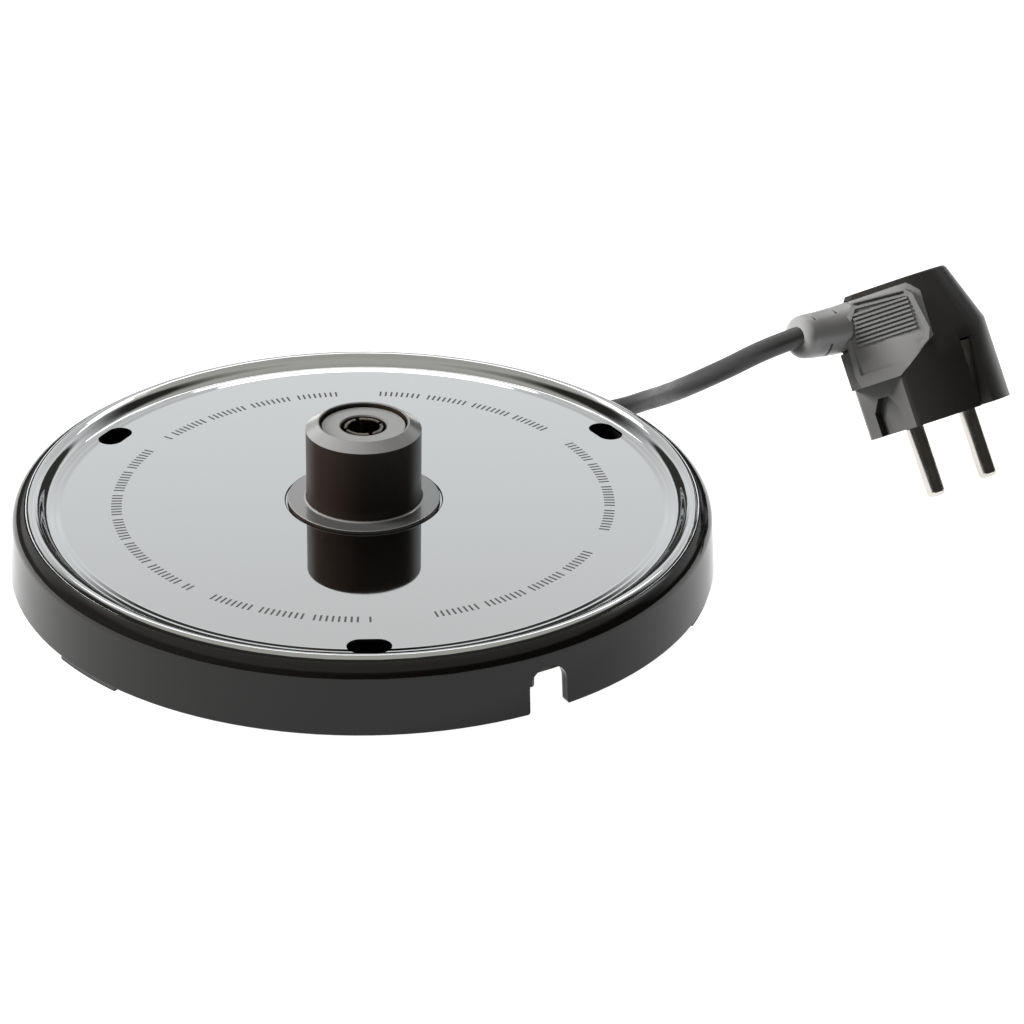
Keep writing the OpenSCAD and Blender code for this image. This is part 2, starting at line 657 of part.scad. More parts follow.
module earth_nut() color([0.78, 0.74, 0.60]) translate([stud_at[0], stud_at[1], tag_z - nut_h]) difference() {
    cylinder(r = nut_r, h = nut_h, $fn = 6);
    translate([0, 0, -1]) cylinder(d = stud_d + 0.1, h = nut_h + 2, $fn = 48);
}

module cord_tail() color([0.04, 0.04, 0.04]) tube(tail_route, cord_r, 10);

module cord_coil() color([0.04, 0.04, 0.04]) translate([0, 0, coil_bot]) rotate_extrude($fn = 180)
    translate([coil_in - cord_r, 0]) square([coil_out - coil_in + cord_d, cord_d]);

module mains_cord() color([0.04, 0.04, 0.04]) tube(cord_route, cord_r, 10);

// Place of a point of the plug, given in its own frame: x along the pins' line, z from the pins' face up
function plug_turn(v) = let (y = v[1] * cos(plug_lean) + v[2] * sin(plug_lean),
    z = -v[1] * sin(plug_lean) + v[2] * cos(plug_lean))
    [v[0] * cos(plug_heading) - y * sin(plug_heading), v[0] * sin(plug_heading) + y * cos(plug_heading), z];
function plug_point(v) = plug_at + plug_turn(v);
module plug_place() translate(plug_at) rotate([-plug_lean, 0, plug_heading]) children();

// Axis of the strain relief in the plug, from its root out
neck_root = [-16, 1.5, relief_up];
neck_l = 10;
neck_tilt = 12;
neck_grip = 0.8;
neck_dir = [-cos(neck_tilt), sin(neck_tilt), 0];
module neck_place() translate(neck_root) rotate([0, 0, -neck_tilt]) rotate([0, -90, 0]) children();

// Line of the strain relief: rounded tip, bend and straight root, with its radius at each point
relief_end_d = 11.2;
relief_tip = 2.8;
tip_steps = 4;
bend_steps = 7;
bend_reach = 8;
cord_end = cord_route[len(cord_route) - 1];
cord_dir = heading(cord_route, len(cord_route) - 1);
relief_root = plug_point(neck_root + neck_l * neck_dir);
relief_bend = (cord_end + bend_reach * cord_dir + relief_root + plug_turn(bend_reach * neck_dir)) / 2;
bend_from = 0.27;
tip_turns = [for (i = [0:tip_steps]) 90 * i / tip_steps];
bend_parts = [for (i = [1:bend_steps]) bend_from + (1 - bend_from) * i / bend_steps];
relief_line = concat([for (a = tip_turns) cord_end + relief_tip * (1 - cos(a)) * cord_dir],
    [for (f = bend_parts) (1 - f) * (1 - f) * cord_end + 2 * f * (1 - f) * relief_bend + f * f * relief_root],
    [plug_point(neck_root + neck_grip * neck_l * neck_dir), plug_point(neck_root)]);
relief_radii = concat([for (a = tip_turns) relief_end_d / 2 - relief_tip * (1 - sin(a))],
    [for (f = bend_parts) (relief_end_d + (relief_d - relief_end_d) * f) / 2], [relief_d / 2, relief_d / 2]);

// Short slots above and below the strain relief let it bend. They lie at these points of its line.
relief_slot_rows = [6, 12];
relief_slot_l = 6.2;
relief_slot_w = 0.6;
relief_slot_d = 1.1;

module relief_slot(i, turn) {
    t = heading(relief_line, i);
    up = plug_turn([0, 0, 1]);
    out = turn * unit(up - (up * t) * t);
    side = cross(t, out);
    base = relief_line[i] + (relief_radii[i] - relief_slot_d) * out;
    multmatrix([for (k = [0:2]) [out[k], side[k], t[k], base[k]]])
        translate([0, -relief_slot_l / 2, -relief_slot_w / 2])
            cube([2 * relief_slot_d, relief_slot_l, relief_slot_w]);
}

module plug_strain_relief() color([0.10, 0.10, 0.10]) difference() {
    swept(relief_line, relief_radii, 32);
    for (i = relief_slot_rows, a = [-1, 1]) relief_slot(i, a);
}

back_r = 13.7;
back_edge = 0.6;
pin_in = 9;
pin_shank_r = 1.9;
pin_root = 0.3;
bridge_r = 14.4;
bridge_t = 4;
clip_w = 3.6;
clip_gap = 0.3;
clip_seat_h = 18;
sleeve_t = 0.8;
guide_w = 10;
guide_top_w = 4;
guide_side_h = 6.3;
guide_h = 9.8;
guide_d = 2;
french_y = 10;

// Side view of the nose that the cord goes into
nose_half = 1.6;
nose_profile = [[-12, plug_ledge], [-22.2, plug_ledge], [-22.9, 17], [-22.4, 29], [-21, 32.4],
    [-17.8, 36.6], [-17.2, plug_back - back_edge], [-16.7, plug_back], [-12, plug_back]];

// Grip pad on each flank, seen square to the pad
pad_turn = 47;
pad_out = 18.9;
pad_in = 12;
pad_rim = 1.3;
pad_foot = 3.1;
pad_sink = 0.5;
pad_outline = [[-10.4, 35.6], [3.5, 34.6], [5, 32.9], [6.5, 23.1], [5.4, 20.6], [-4.4, plug_ledge],
    [-15, plug_ledge], [-15.4, 17.5], [-15.1, 23.5], [-14.7, 30]];
rib_count = 8;
rib_pitch = 1.12;
rib_w = 0.55;
rib_first = 24.3;
rib_from = -12.6;
rib_l = 16;
rib_short = 0.2;
rib_drop = 0.05;
groove_ends = [[-12, 35], [2.7, 33.9]];
groove_w = 0.8;
groove_d = 0.7;

// Hollow of the pad, between its foot and the line below the groove
module pad_hollow() intersection() {
    offset(delta = -pad_rim) polygon(pad_outline);
    polygon([[-16, plug_ledge + pad_foot], [7, plug_ledge + pad_foot], [7, 32.6], [-16, 34.2]]);
}

module grip_pad() rotate(-pad_turn) rotate([90, 0, 0]) {
    difference() {
        translate([0, 0, pad_in]) linear_extrude(pad_out - pad_in) polygon(pad_outline);
        translate([0, 0, pad_out - pad_sink]) linear_extrude(2) pad_hollow();
        translate([0, 0, pad_out - groove_d]) linear_extrude(2)
            hull() for (q = groove_ends) translate(q) circle(d = groove_w, $fn = 24);
    }
    for (i = [0:rib_count - 1]) translate([rib_from + rib_short * i, rib_first + rib_pitch * i, pad_out - 1])
        cube([rib_l - rib_short * i, rib_w, 1 - rib_drop]);
}

module plug_outline() intersection() {
    circle(plug_r);
    square([2 * plug_flat, 3 * plug_r], center = true);
}

// Guide slot of the wall socket, in the flat at +X
module guide_slot() translate([plug_flat - guide_d, 0, 0]) rotate([90, 0, 90]) linear_extrude(guide_d + 2)
    polygon([[-guide_w / 2, -1], [guide_w / 2, -1], [guide_w / 2, guide_side_h], [guide_top_w / 2, guide_h],
        [-guide_top_w / 2, guide_h], [-guide_w / 2, guide_side_h]]);

// Seat of an earth clip, in the side at -Y
clip_seat_d = 5.4;
module clip_seat() translate([-clip_w / 2 - clip_gap, -plug_r - 1, -1])
    cube([clip_w + 2 * clip_gap, clip_seat_d + 1, clip_seat_h + 1]);

module plug_body() color([0.07, 0.07, 0.07]) plug_place() difference() {
    union() {
        linear_extrude(plug_ledge + 0.2) plug_outline();
        hull() {
            translate([0, 0, plug_ledge]) cylinder(r = plug_r, h = plug_h - plug_ledge);
            translate([0, 0, plug_back - back_edge])
                cylinder(r1 = back_r, r2 = back_r - back_edge, h = back_edge, $fn = 64);
            translate([0, nose_half, 0]) rotate([90, 0, 0]) linear_extrude(2 * nose_half) polygon(nose_profile);
        }
        for (m = [0, 1]) mirror([0, m, 0]) grip_pad();
    }
    // Seat of the strain relief
    neck_place() cylinder(d = relief_d + gap, h = 2 * neck_l);
    // Recess for the bridge, and bores for the pins behind it
    translate([0, 0, -1]) cylinder(r = bridge_r, h = bridge_t + 1);
    for (x = [-1, 1]) translate([x * pin_gap / 2, 0, 0])
        cylinder(d = 2 * pin_shank_r + gap, h = bridge_t + pin_in);
    translate([0, french_y, 0]) cylinder(d = pin_d + 2 * sleeve_t + gap, h = bridge_t + pin_in);
    for (m = [0, 1]) {
        mirror([0, m, 0]) clip_seat();
        mirror([m, 0, 0]) guide_slot();
    }
}

module plug_bridge() color([0.14, 0.14, 0.14]) plug_place() difference() {
    cylinder(r = bridge_r - gap / 2, h = bridge_t);
    for (x = [-1, 1]) translate([x * pin_gap / 2, 0, -1])
        cylinder(d = 2 * pin_shank_r + gap, h = bridge_t + 2);
    translate([0, french_y, -1]) cylinder(d = pin_d + 2 * sleeve_t + gap, h = bridge_t + 2);
}

// Pin with a rounded tip and a thinner shank inside the plug
pin_top = bridge_t + pin_in - 0.5;
module pin() rotate_extrude($fn = 48) polygon(concat([[0, pin_top], [0, -pin_l]],
    arc(pin_d / 2 - tip_round, -pin_l + tip_round, tip_round, -90, 0, 6),
    [[pin_d / 2, -pin_root], [pin_shank_r, 0], [pin_shank_r, pin_top]]));

module pin_near() color([0.75, 0.74, 0.72]) plug_place() translate([-pin_gap / 2, 0, 0]) pin();
module pin_far() color([0.75, 0.74, 0.72]) plug_place() translate([pin_gap / 2, 0, 0]) pin();

// Side view of an earth clip, with its distance from the plug's axis
clip_path = [[-14.9, 0.6], [-15.6, 4], [-16.7, 9], [-17.7, 14], [-18.2, 17.4]];
clip_t = 0.6;
module earth_clip() translate([-clip_w / 2, 0, 0]) rotate([90, 0, 90])
    linear_extrude(clip_w) strip(clip_path, clip_t);
module plug_earth_clip_front() color([0.75, 0.74, 0.72]) plug_place() earth_clip();
module plug_earth_clip_back() color([0.75, 0.74, 0.72]) plug_place() mirror([0, 1, 0]) earth_clip();

module plug_earth_sleeve() color([0.80, 0.70, 0.45]) plug_place() translate([0, french_y, 0]) difference() {
    cylinder(d = pin_d + 2 * sleeve_t, h = bridge_t + pin_in - gap, $fn = 48);
    translate([0, 0, -1]) cylinder(d = pin_d + 2 * gap, h = bridge_t + pin_in, $fn = 48);
}

top_plate();
housing();
bottom_cover();
cover_screws();
foot_rear();
foot_left();
foot_right();
connector_body();
connector_lock_ring();
shutter_disc();
shutter_spring();
earth_socket();
live_contact();
neutral_contact();
terminal_carrier();
live_lead();
neutral_lead();
earth_lead();
bond_lead();
bond_tag();
earth_stud();
earth_nut();
cord_clamp();
clamp_screws();
cord_tail();
cord_coil();
mains_cord();
plug_strain_relief();
plug_body();
plug_bridge();
pin_near();
pin_far();
plug_earth_clip_front();
plug_earth_clip_back();
plug_earth_sleeve();
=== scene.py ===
"""Looks of a kettle base: polished plate, gloss housing, connector tower, mains cord and angled plug."""

import math

import bmesh
import bpy
from mathutils import Matrix, Vector


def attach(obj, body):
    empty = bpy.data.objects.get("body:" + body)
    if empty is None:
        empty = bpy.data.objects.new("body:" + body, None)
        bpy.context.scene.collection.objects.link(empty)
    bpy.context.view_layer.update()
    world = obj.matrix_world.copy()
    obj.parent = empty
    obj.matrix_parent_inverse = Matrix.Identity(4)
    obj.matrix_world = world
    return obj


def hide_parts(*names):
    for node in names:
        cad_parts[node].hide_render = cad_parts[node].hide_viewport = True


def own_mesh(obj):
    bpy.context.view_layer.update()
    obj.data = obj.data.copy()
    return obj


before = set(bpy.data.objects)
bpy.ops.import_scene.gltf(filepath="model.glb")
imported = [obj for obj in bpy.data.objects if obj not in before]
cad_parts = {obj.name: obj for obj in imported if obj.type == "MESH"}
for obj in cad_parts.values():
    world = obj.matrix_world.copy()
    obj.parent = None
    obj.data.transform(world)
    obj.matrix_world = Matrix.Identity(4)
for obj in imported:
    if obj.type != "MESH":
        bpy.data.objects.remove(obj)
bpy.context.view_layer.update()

MM = 0.001

# Camera
CAMERA_AT = Vector((36.7, -664.5, 358.6)) * MM
CAMERA_ELEVATION = 27.46
CAMERA_ROLL = 1.21
CAMERA_LENS = 106.2
SENSOR = 36.0

# Studio round the object: elevation in degrees, brightness and tint
WHITE = (1, 1, 1)
COOL = (0.985, 1, 1.005)
WARM = (1, 0.985, 0.93)
SKY_PEAK = 1.3
FAR_SKY = [(0, 0.04, WARM), (15, 0.05, WARM), (19, 0.9, COOL), (24.5, 1.08, COOL), (27.5, 0.97, COOL),
           (30.5, 0.86, WHITE), (37, 0.75, WHITE), (43, 0.78, WHITE), (45.5, 1.22, WHITE), (48, 1.22, WHITE),
           (52, 0.55, WARM), (90, 0.5, WARM)]
NEAR_SKY = [(0, 0.03, WARM), (38, 0.03, WARM), (50, 0.58, WARM), (90, 0.52, WARM)]
SKY_TURN = (0.2, 0.7)
FLOOR_GLOW = 1.0

UP = (0, 0, 1)

# Plug's own frame: its place and its three axes, and the room of a grip pad seen from above in that frame
PLUG_AT = Vector((148.7, 52.2, 16.8))
PLUG_AXES = [Vector((0.788, 0.616, 0)), Vector((-0.516, 0.661, -0.545)), Vector((-0.335, 0.429, 0.839))]
PAD_OUT = (-0.731, 0.682, 0)
PAD_ALONG = (0.682, 0.731, 0)
PAD_GREY = (0.13, 0.129, 0.127)
PAD_DEPTH = 13.5
PAD_END = 6.7
PAD_TOP = 36.2
PAD_FOOT = 13.8
PAD_CORNER = (5.6, 20.4)
PAD_CORNER_FOOT = -4.2

# Ring of short printed marks on the plate: the arcs it covers, in degrees, and one mark's size
MARK_ARCS = [(157, 233), (238, 276), (289, 338), (347, 396), (403, 452), (460, 510)]
MARK_R = 60.8
MARK_L = 2.6
MARK_W = 0.5
MARK_STEP = 1.35
MARK_LIFT = 0.02
PLATE_Z = 16.2

# The plate's sheet curves up a little inside its step: rise in millimetres at each radius
SHEET_EDGE = [(74.2, 0), (74.5, 0.02), (75.5, 0.2), (75.75, 0.215), (76.0, 0.23), (77.0, 0.42)]
WORD = 9

# Mains cord: the route that the CAD model has, in millimetres
CORD_D = 5.4
COIL_Z = 6.1
COIL_IN = 42.4
COIL_OUT = 53.6
COIL_START = 42
COIL_SWEEP = 648
COIL_STEPS = 30
TAIL_ROUTE = [(-9.4, 19.2), (-8, 22.5), (-4.6, 27.8), (1, 32.7), (8.7, 35.8), (17, 36.1), (25, 33.5)]
CORD_ROUTE = [
    (-12.6, 53, COIL_Z), (-3.5, 57.1, COIL_Z), (6, 61.3, COIL_Z), (15, 65.3, COIL_Z), (24, 69.1, 5.8),
    (32, 72.5, 5.2), (40, 75.8, 4.2), (47.5, 78, 3.2), (55, 78.3, 3.2), (62, 75.9, 5.4), (67.5, 72.5, 8.6),
    (72, 68.2, 12.4), (75.4, 63, 16.2), (78.2, 57, 20.3), (81.2, 51.2, 24.6), (85.4, 46.3, 29.2),
    (91.6, 43, 34.2), (99.6, 42.4, 39.1), (108.6, 45.1, 42), (111.2, 46.4, 42.4),
]

# Strain relief: from its tip to its root in the plug, with short slots at these shares of its line
RELIEF_ENDS = [(108.6, 45.1, 42), (116.4, 51.6, 40.1), (125.2, 56.3, 41.2)]
RELIEF_TIP_R = 5.6
RELIEF_ROOT_R = 6.4
RELIEF_ROUND = 2.8
RELIEF_UP = Vector((-0.335, 0.429, 0.839))
RELIEF_SLOTS = [(0.2, 1), (0.6, 1), (0.38, -1), (0.78, -1)]
RELIEF_SLOT = Vector((5, 9.4, 0.8))

# Moulded pieces that are shaded smooth, up to an edge of this angle
SMOOTH_PIECES = ["top_plate", "housing", "connector_body", "plug_body"]
SMOOTH_ANGLE = 28

# Which material each CAD node gets
FINISHES = {
    "plate_steel": ["top_plate"],
    "housing_gloss": ["housing"],
    "cover_plastic": ["bottom_cover"],
    "screw_steel": ["cover_screws", "clamp_screws"],
    "foot_rubber": ["foot_rear", "foot_left", "foot_right"],
    "connector_plastic": ["connector_body", "connector_lock_ring", "cord_clamp"],
    "shutter_plastic": ["shutter_disc"],
    "socket_metal": ["earth_socket", "earth_stud", "earth_nut", "bond_tag"],
    "contact_brass": ["live_contact", "neutral_contact", "plug_earth_sleeve"],
    "carrier_plastic": ["terminal_carrier"],
    "lead_brown": ["live_lead"],
    "lead_blue": ["neutral_lead"],
    "lead_green": ["earth_lead", "bond_lead"],
    "plug_plastic": ["plug_body"],
    "bridge_plastic": ["plug_bridge"],
    "pin_nickel": ["pin_near", "pin_far"],
    "clip_nickel": ["plug_earth_clip_front", "plug_earth_clip_back"],
}


def place_camera():
    """Camera at the photograph's angle."""
    data = bpy.data.cameras.new("camera")
    data.lens = CAMERA_LENS
    data.sensor_width = SENSOR
    data.clip_start = 0.05
    data.clip_end = 50
    camera = bpy.data.objects.new("camera", data)
    bpy.context.scene.collection.objects.link(camera)
    tilt = Matrix.Rotation(math.radians(90 - CAMERA_ELEVATION), 4, "X")
    roll = Matrix.Rotation(math.radians(CAMERA_ROLL), 4, "Z")
    camera.matrix_world = Matrix.Translation(CAMERA_AT) @ tilt @ roll
    bpy.context.scene.camera = camera


def cord_points():
    """The whole line of the cord, from the clamp through the coil to the strain relief."""
    points = [(x, y, COIL_Z) for x, y in TAIL_ROUTE]
    for i in range(COIL_STEPS + 1):
        share = i / COIL_STEPS
        radius = COIL_IN + (COIL_OUT - COIL_IN) * share
        turn = math.radians(COIL_START - COIL_SWEEP * share)
        points.append((radius * math.cos(turn), radius * math.sin(turn), COIL_Z))
    return [Vector(p) * MM for p in points + CORD_ROUTE]


def curve_through(name, points, radius):
    """Round tube on one smooth open spline through the points."""
    data = bpy.data.curves.new(name, "CURVE")
    data.dimensions = "3D"
    data.bevel_depth = radius
    data.bevel_resolution = 5
    data.resolution_u = 8
    data.use_fill_caps = True
    spline = data.splines.new("BEZIER")
    spline.bezier_points.add(len(points) - 1)
    last = len(points) - 1
    for i, point in enumerate(points):
        before, after = points[max(i - 1, 0)], points[min(i + 1, last)]
        along = (after - before).normalized()
        bezier = spline.bezier_points[i]
        bezier.co = point
        bezier.handle_left_type = "FREE"
        bezier.handle_right_type = "FREE"
        bezier.handle_left = point - along * (point - before).length / 3
        bezier.handle_right = point + along * (after - point).length / 3
    piece = bpy.data.objects.new(name, data)
    bpy.context.scene.collection.objects.link(piece)
    return piece


def closed_mesh(name, points, faces):
    """Mesh of a closed body, with its faces turned outwards."""
    mesh = bpy.data.meshes.new(name)
    mesh.from_pydata(points, [], faces)
    body = bmesh.new()
    body.from_mesh(mesh)
    bmesh.ops.recalc_face_normals(body, faces=body.faces)
    body.to_mesh(mesh)
    body.free()
    return mesh


def relief_place(share):
    """Point and direction of the strain relief's line at this share of it."""
    tip, bend, root = (Vector(p) for p in RELIEF_ENDS)
    point = tip * (1 - share) ** 2 + bend * 2 * share * (1 - share) + root * share ** 2
    return point, ((bend - tip) * (1 - share) + (root - bend) * share).normalized()


def relief_radius(share):
    return RELIEF_TIP_R + (RELIEF_ROOT_R - RELIEF_TIP_R) * share


def cut_slots(relief):
    """Cuts the short slots above and below out of the strain relief."""
    points, faces = [], []
    for share, side in RELIEF_SLOTS:
        middle, along = relief_place(share)
        out = side * (RELIEF_UP - along * RELIEF_UP.dot(along)).normalized()
        across = along.cross(out)
        middle = middle + out * relief_radius(share)
        first = len(points)
        for i in range(8):
            signs = [1 if i >> bit & 1 else -1 for bit in range(3)]
            offset = sum((a * s * l / 2 for a, s, l in zip((out, across, along), signs, RELIEF_SLOT)), Vector())
            points.append((middle + offset) * MM)
        for face in ((0, 1, 3, 2), (4, 6, 7, 5), (0, 4, 5, 1), (2, 3, 7, 6), (0, 2, 6, 4), (1, 5, 7, 3)):
            faces.append([first + i for i in face])
    mesh = closed_mesh("slots", points, faces)
    cutter = bpy.data.objects.new("slots", mesh)
    bpy.context.scene.collection.objects.link(cutter)
    cut = relief.modifiers.new("slots", "BOOLEAN")
    cut.operation = "DIFFERENCE"
    cut.solver = "EXACT"
    cut.object = cutter
    bpy.context.view_layer.objects.active = relief
    bpy.ops.object.modifier_apply(modifier="slots")
    bpy.data.objects.remove(cutter)


def make_relief(finish):
    """Strain relief on the cord: a tapered sleeve with a rounded tip and short slots that let it bend."""
    sides, rings = 48, 26
    places = []
    for i in range(7):
        turn = math.radians(90 * i / 6)
        point, along = relief_place(0)
        places.append((point + along * RELIEF_ROUND * (1 - math.cos(turn)), along,
                       RELIEF_TIP_R - RELIEF_ROUND * (1 - math.sin(turn))))
    start = 0.18
    for i in range(1, rings + 1):
        share = start + (1 - start) * i / rings
        places.append((*relief_place(share), relief_radius(share)))
    points = []
    for point, along, radius in places:
        side = along.cross(RELIEF_UP).normalized()
        over = side.cross(along)
        for k in range(sides):
            turn = 2 * math.pi * k / sides
            points.append((point + radius * (math.cos(turn) * side + math.sin(turn) * over)) * MM)
    last = len(places) - 1
    faces = [[i * sides + k, i * sides + (k + 1) % sides, (i + 1) * sides + (k + 1) % sides, (i + 1) * sides + k]
             for i in range(last) for k in range(sides)]
    faces += [[k for k in range(sides)][::-1], [last * sides + k for k in range(sides)]]
    mesh = closed_mesh("strain_relief", points, faces)
    mesh.materials.append(finish)
    relief = bpy.data.objects.new("strain_relief", mesh)
    bpy.context.scene.collection.objects.link(relief)
    cut_slots(relief)
    relief.data.shade_smooth()
    relief.data.set_sharp_from_angle(angle=math.radians(35))
    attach(relief, "base")
    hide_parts("plug_strain_relief")
    return relief


def make_cord(finish, relief):
    """Mains cord, from the clamp in the drum to the plug."""
    points = cord_points()
    cord = curve_through("cord", points, CORD_D / 2 * MM)
    cord.data.materials.append(finish)
    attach(cord, "base")
    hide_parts("cord_tail", "cord_coil", "mains_cord")


class Finish:
    """A procedural material on a Principled shader, built up layer by layer."""

    def __init__(self, name, colour, roughness, metallic=0.0, coat=0.0, specular=0.5):
        self.material = bpy.data.materials.new(name)
        self.material.use_nodes = True
        self.nodes = self.material.node_tree.nodes
        self.links = self.material.node_tree.links
        self.shader = self.nodes["Principled BSDF"]
        self.colour = colour
        self.set("Base Color", (*colour, 1))
        self.set("Roughness", roughness)
        self.set("Metallic", metallic)
        self.set("Coat Weight", coat)
        self.set("Coat Roughness", 0.04)
        self.set("Specular IOR Level", specular)
        self.place = self.nodes.new("ShaderNodeTexCoord").outputs["Object"]
        self.height = None

    def set(self, socket, value):
        self.shader.inputs[socket].default_value = value

    def coating(self, roughness, ior):
        """Clear layer with its own roughness and index."""
        self.set("Coat Roughness", roughness)
        self.set("Coat IOR", ior)
        return self

    def tint(self, share, colour):
        """Another colour where share is 1, over the colours before it."""
        mix = self.nodes.new("ShaderNodeMix")
        mix.data_type = "RGBA"
        mix.inputs[6].default_value = (*self.colour, 1)
        if self.shader.inputs["Base Color"].is_linked:
            self.links.new(self.shader.inputs["Base Color"].links[0].from_socket, mix.inputs[6])
        mix.inputs[7].default_value = (*colour, 1)
        self.links.new(share, mix.inputs[0])
        self.links.new(mix.outputs[2], self.shader.inputs["Base Color"])
        return self

    def along(self, vector, direction):
        """How far a vector reaches in a direction."""
        reach = self.nodes.new("ShaderNodeVectorMath")
        reach.operation = "DOT_PRODUCT"
        reach.inputs[1].default_value = direction
        self.links.new(vector, reach.inputs[0])
        return reach.outputs["Value"]

    def facing(self, direction, colour, start=0.5, end=0.8):
        """Painted light or painted shade: another colour on faces that look in this direction."""
        normal = self.nodes.new("ShaderNodeTexCoord").outputs["Normal"]
        return self.tint(self.between(self.along(normal, direction), 0, 1, start, end), colour)

    def shine_facing(self, direction, low, high, start, end):
        """Coating that grows from low to high towards faces that look in this direction."""
        normal = self.nodes.new("ShaderNodeTexCoord").outputs["Normal"]
        share = self.between(self.along(normal, direction), low, high, start, end)
        self.links.new(share, self.shader.inputs["Coat Weight"])
        return self

    def within(self, limits, colour):
        """Another colour inside all these planes, each given by its outward direction and its reach in metres."""
        share = None
        for direction, reach in limits:
            inside = self.nodes.new("ShaderNodeMath")
            inside.operation = "LESS_THAN"
            self.links.new(self.along(self.place, direction), inside.inputs[0])
            inside.inputs[1].default_value = reach
            if share:
                both = self.nodes.new("ShaderNodeMath")
                both.operation = "MULTIPLY"
                self.links.new(share, both.inputs[0])
                self.links.new(inside.outputs[0], both.inputs[1])
                inside = both
            share = inside.outputs[0]
        return self.tint(share, colour)

    def noise(self, scale, detail=3, stretch=(1, 1, 1)):
        """Noise over the surface, with its size given by scale, in waves a metre."""
        mapping = self.nodes.new("ShaderNodeMapping")
        mapping.inputs["Scale"].default_value = stretch
        self.links.new(self.place, mapping.inputs["Vector"])
        texture = self.nodes.new("ShaderNodeTexNoise")
        texture.inputs["Scale"].default_value = scale
        texture.inputs["Detail"].default_value = detail
        self.links.new(mapping.outputs["Vector"], texture.inputs["Vector"])
        return texture.outputs["Fac"]

    def between(self, value, low, high, start=0.3, end=0.7):
        """The value spread from low to high."""
        spread = self.nodes.new("ShaderNodeMapRange")
        spread.inputs["From Min"].default_value = start
        spread.inputs["From Max"].default_value = end
        spread.inputs["To Min"].default_value = low
        spread.inputs["To Max"].default_value = high
        self.links.new(value, spread.inputs["Value"])
        return spread.outputs["Result"]

    def vary_roughness(self, scale, low, high, stretch=(1, 1, 1)):
        self.links.new(self.between(self.noise(scale, 4, stretch), low, high), self.shader.inputs["Roughness"])
        return self

    def radial_rise(self, profile):
        """Shading relief that follows a profile of radius and height, in millimetres, round the Z axis."""
        flat = self.nodes.new("ShaderNodeVectorMath")
        flat.operation = "MULTIPLY"
        flat.inputs[1].default_value = (1, 1, 0)
        self.links.new(self.place, flat.inputs[0])
        radius = self.nodes.new("ShaderNodeVectorMath")
        radius.operation = "LENGTH"
        self.links.new(flat.outputs["Vector"], radius.inputs[0])
        inner, outer, top = profile[0][0], profile[-1][0], profile[-1][1]
        ramp = self.nodes.new("ShaderNodeValToRGB")
        elements = ramp.color_ramp.elements
        while len(elements) < len(profile):
            elements.new(0.5)
        for element, (at, rise) in zip(elements, profile):
            element.position = (at - inner) / (outer - inner)
        for element, (at, rise) in zip(elements, profile):
            element.color = (rise / top, rise / top, rise / top, 1)
        self.links.new(self.between(radius.outputs["Value"], 0, 1, inner * MM, outer * MM), ramp.inputs["Fac"])
        relief = self.nodes.new("ShaderNodeBump")
        relief.inputs["Distance"].default_value = top * MM
        relief.inputs["Strength"].default_value = 1
        self.links.new(ramp.outputs["Color"], relief.inputs["Height"])
        self.height = relief.outputs["Normal"]
        self.links.new(self.height, self.shader.inputs["Normal"])
        return self

    def bump(self, scale, depth, detail=2, stretch=(1, 1, 1)):
        """Fine relief of that depth in metres, on top of any before it."""
        relief = self.nodes.new("ShaderNodeBump")
        relief.inputs["Distance"].default_value = depth
        relief.inputs["Strength"].default_value = 1
        self.links.new(self.noise(scale, detail, stretch), relief.inputs["Height"])
        if self.height:
            self.links.new(self.height, relief.inputs["Normal"])
        self.height = relief.outputs["Normal"]
        self.links.new(self.height, self.shader.inputs["Normal"])
        return self


def plug_turned(direction):
    """A direction in the plug's own frame, turned into the row frame."""
    return sum((axis * part for axis, part in zip(PLUG_AXES, direction)), Vector())


def pad_room(side):
    """Planes round the grip pad on this side of the plug."""
    out = Vector(PAD_OUT)
    along = Vector(PAD_ALONG)
    out.y *= side
    along.y *= side
    up = Vector((0, 0, 1))
    slant = Vector((PAD_CORNER[1] - PAD_FOOT, PAD_CORNER_FOOT - PAD_CORNER[0], 0)).normalized()
    corner = along * slant.x + up * slant.y
    limits = [(-out, -PAD_DEPTH), (along, PAD_END), (up, PAD_TOP), (-up, -PAD_FOOT),
              (corner, slant.x * PAD_CORNER[0] + slant.y * PAD_CORNER[1])]
    turned = [(plug_turned(direction), reach) for direction, reach in limits]
    return [(direction, (reach + direction.dot(PLUG_AT)) * MM) for direction, reach in turned]


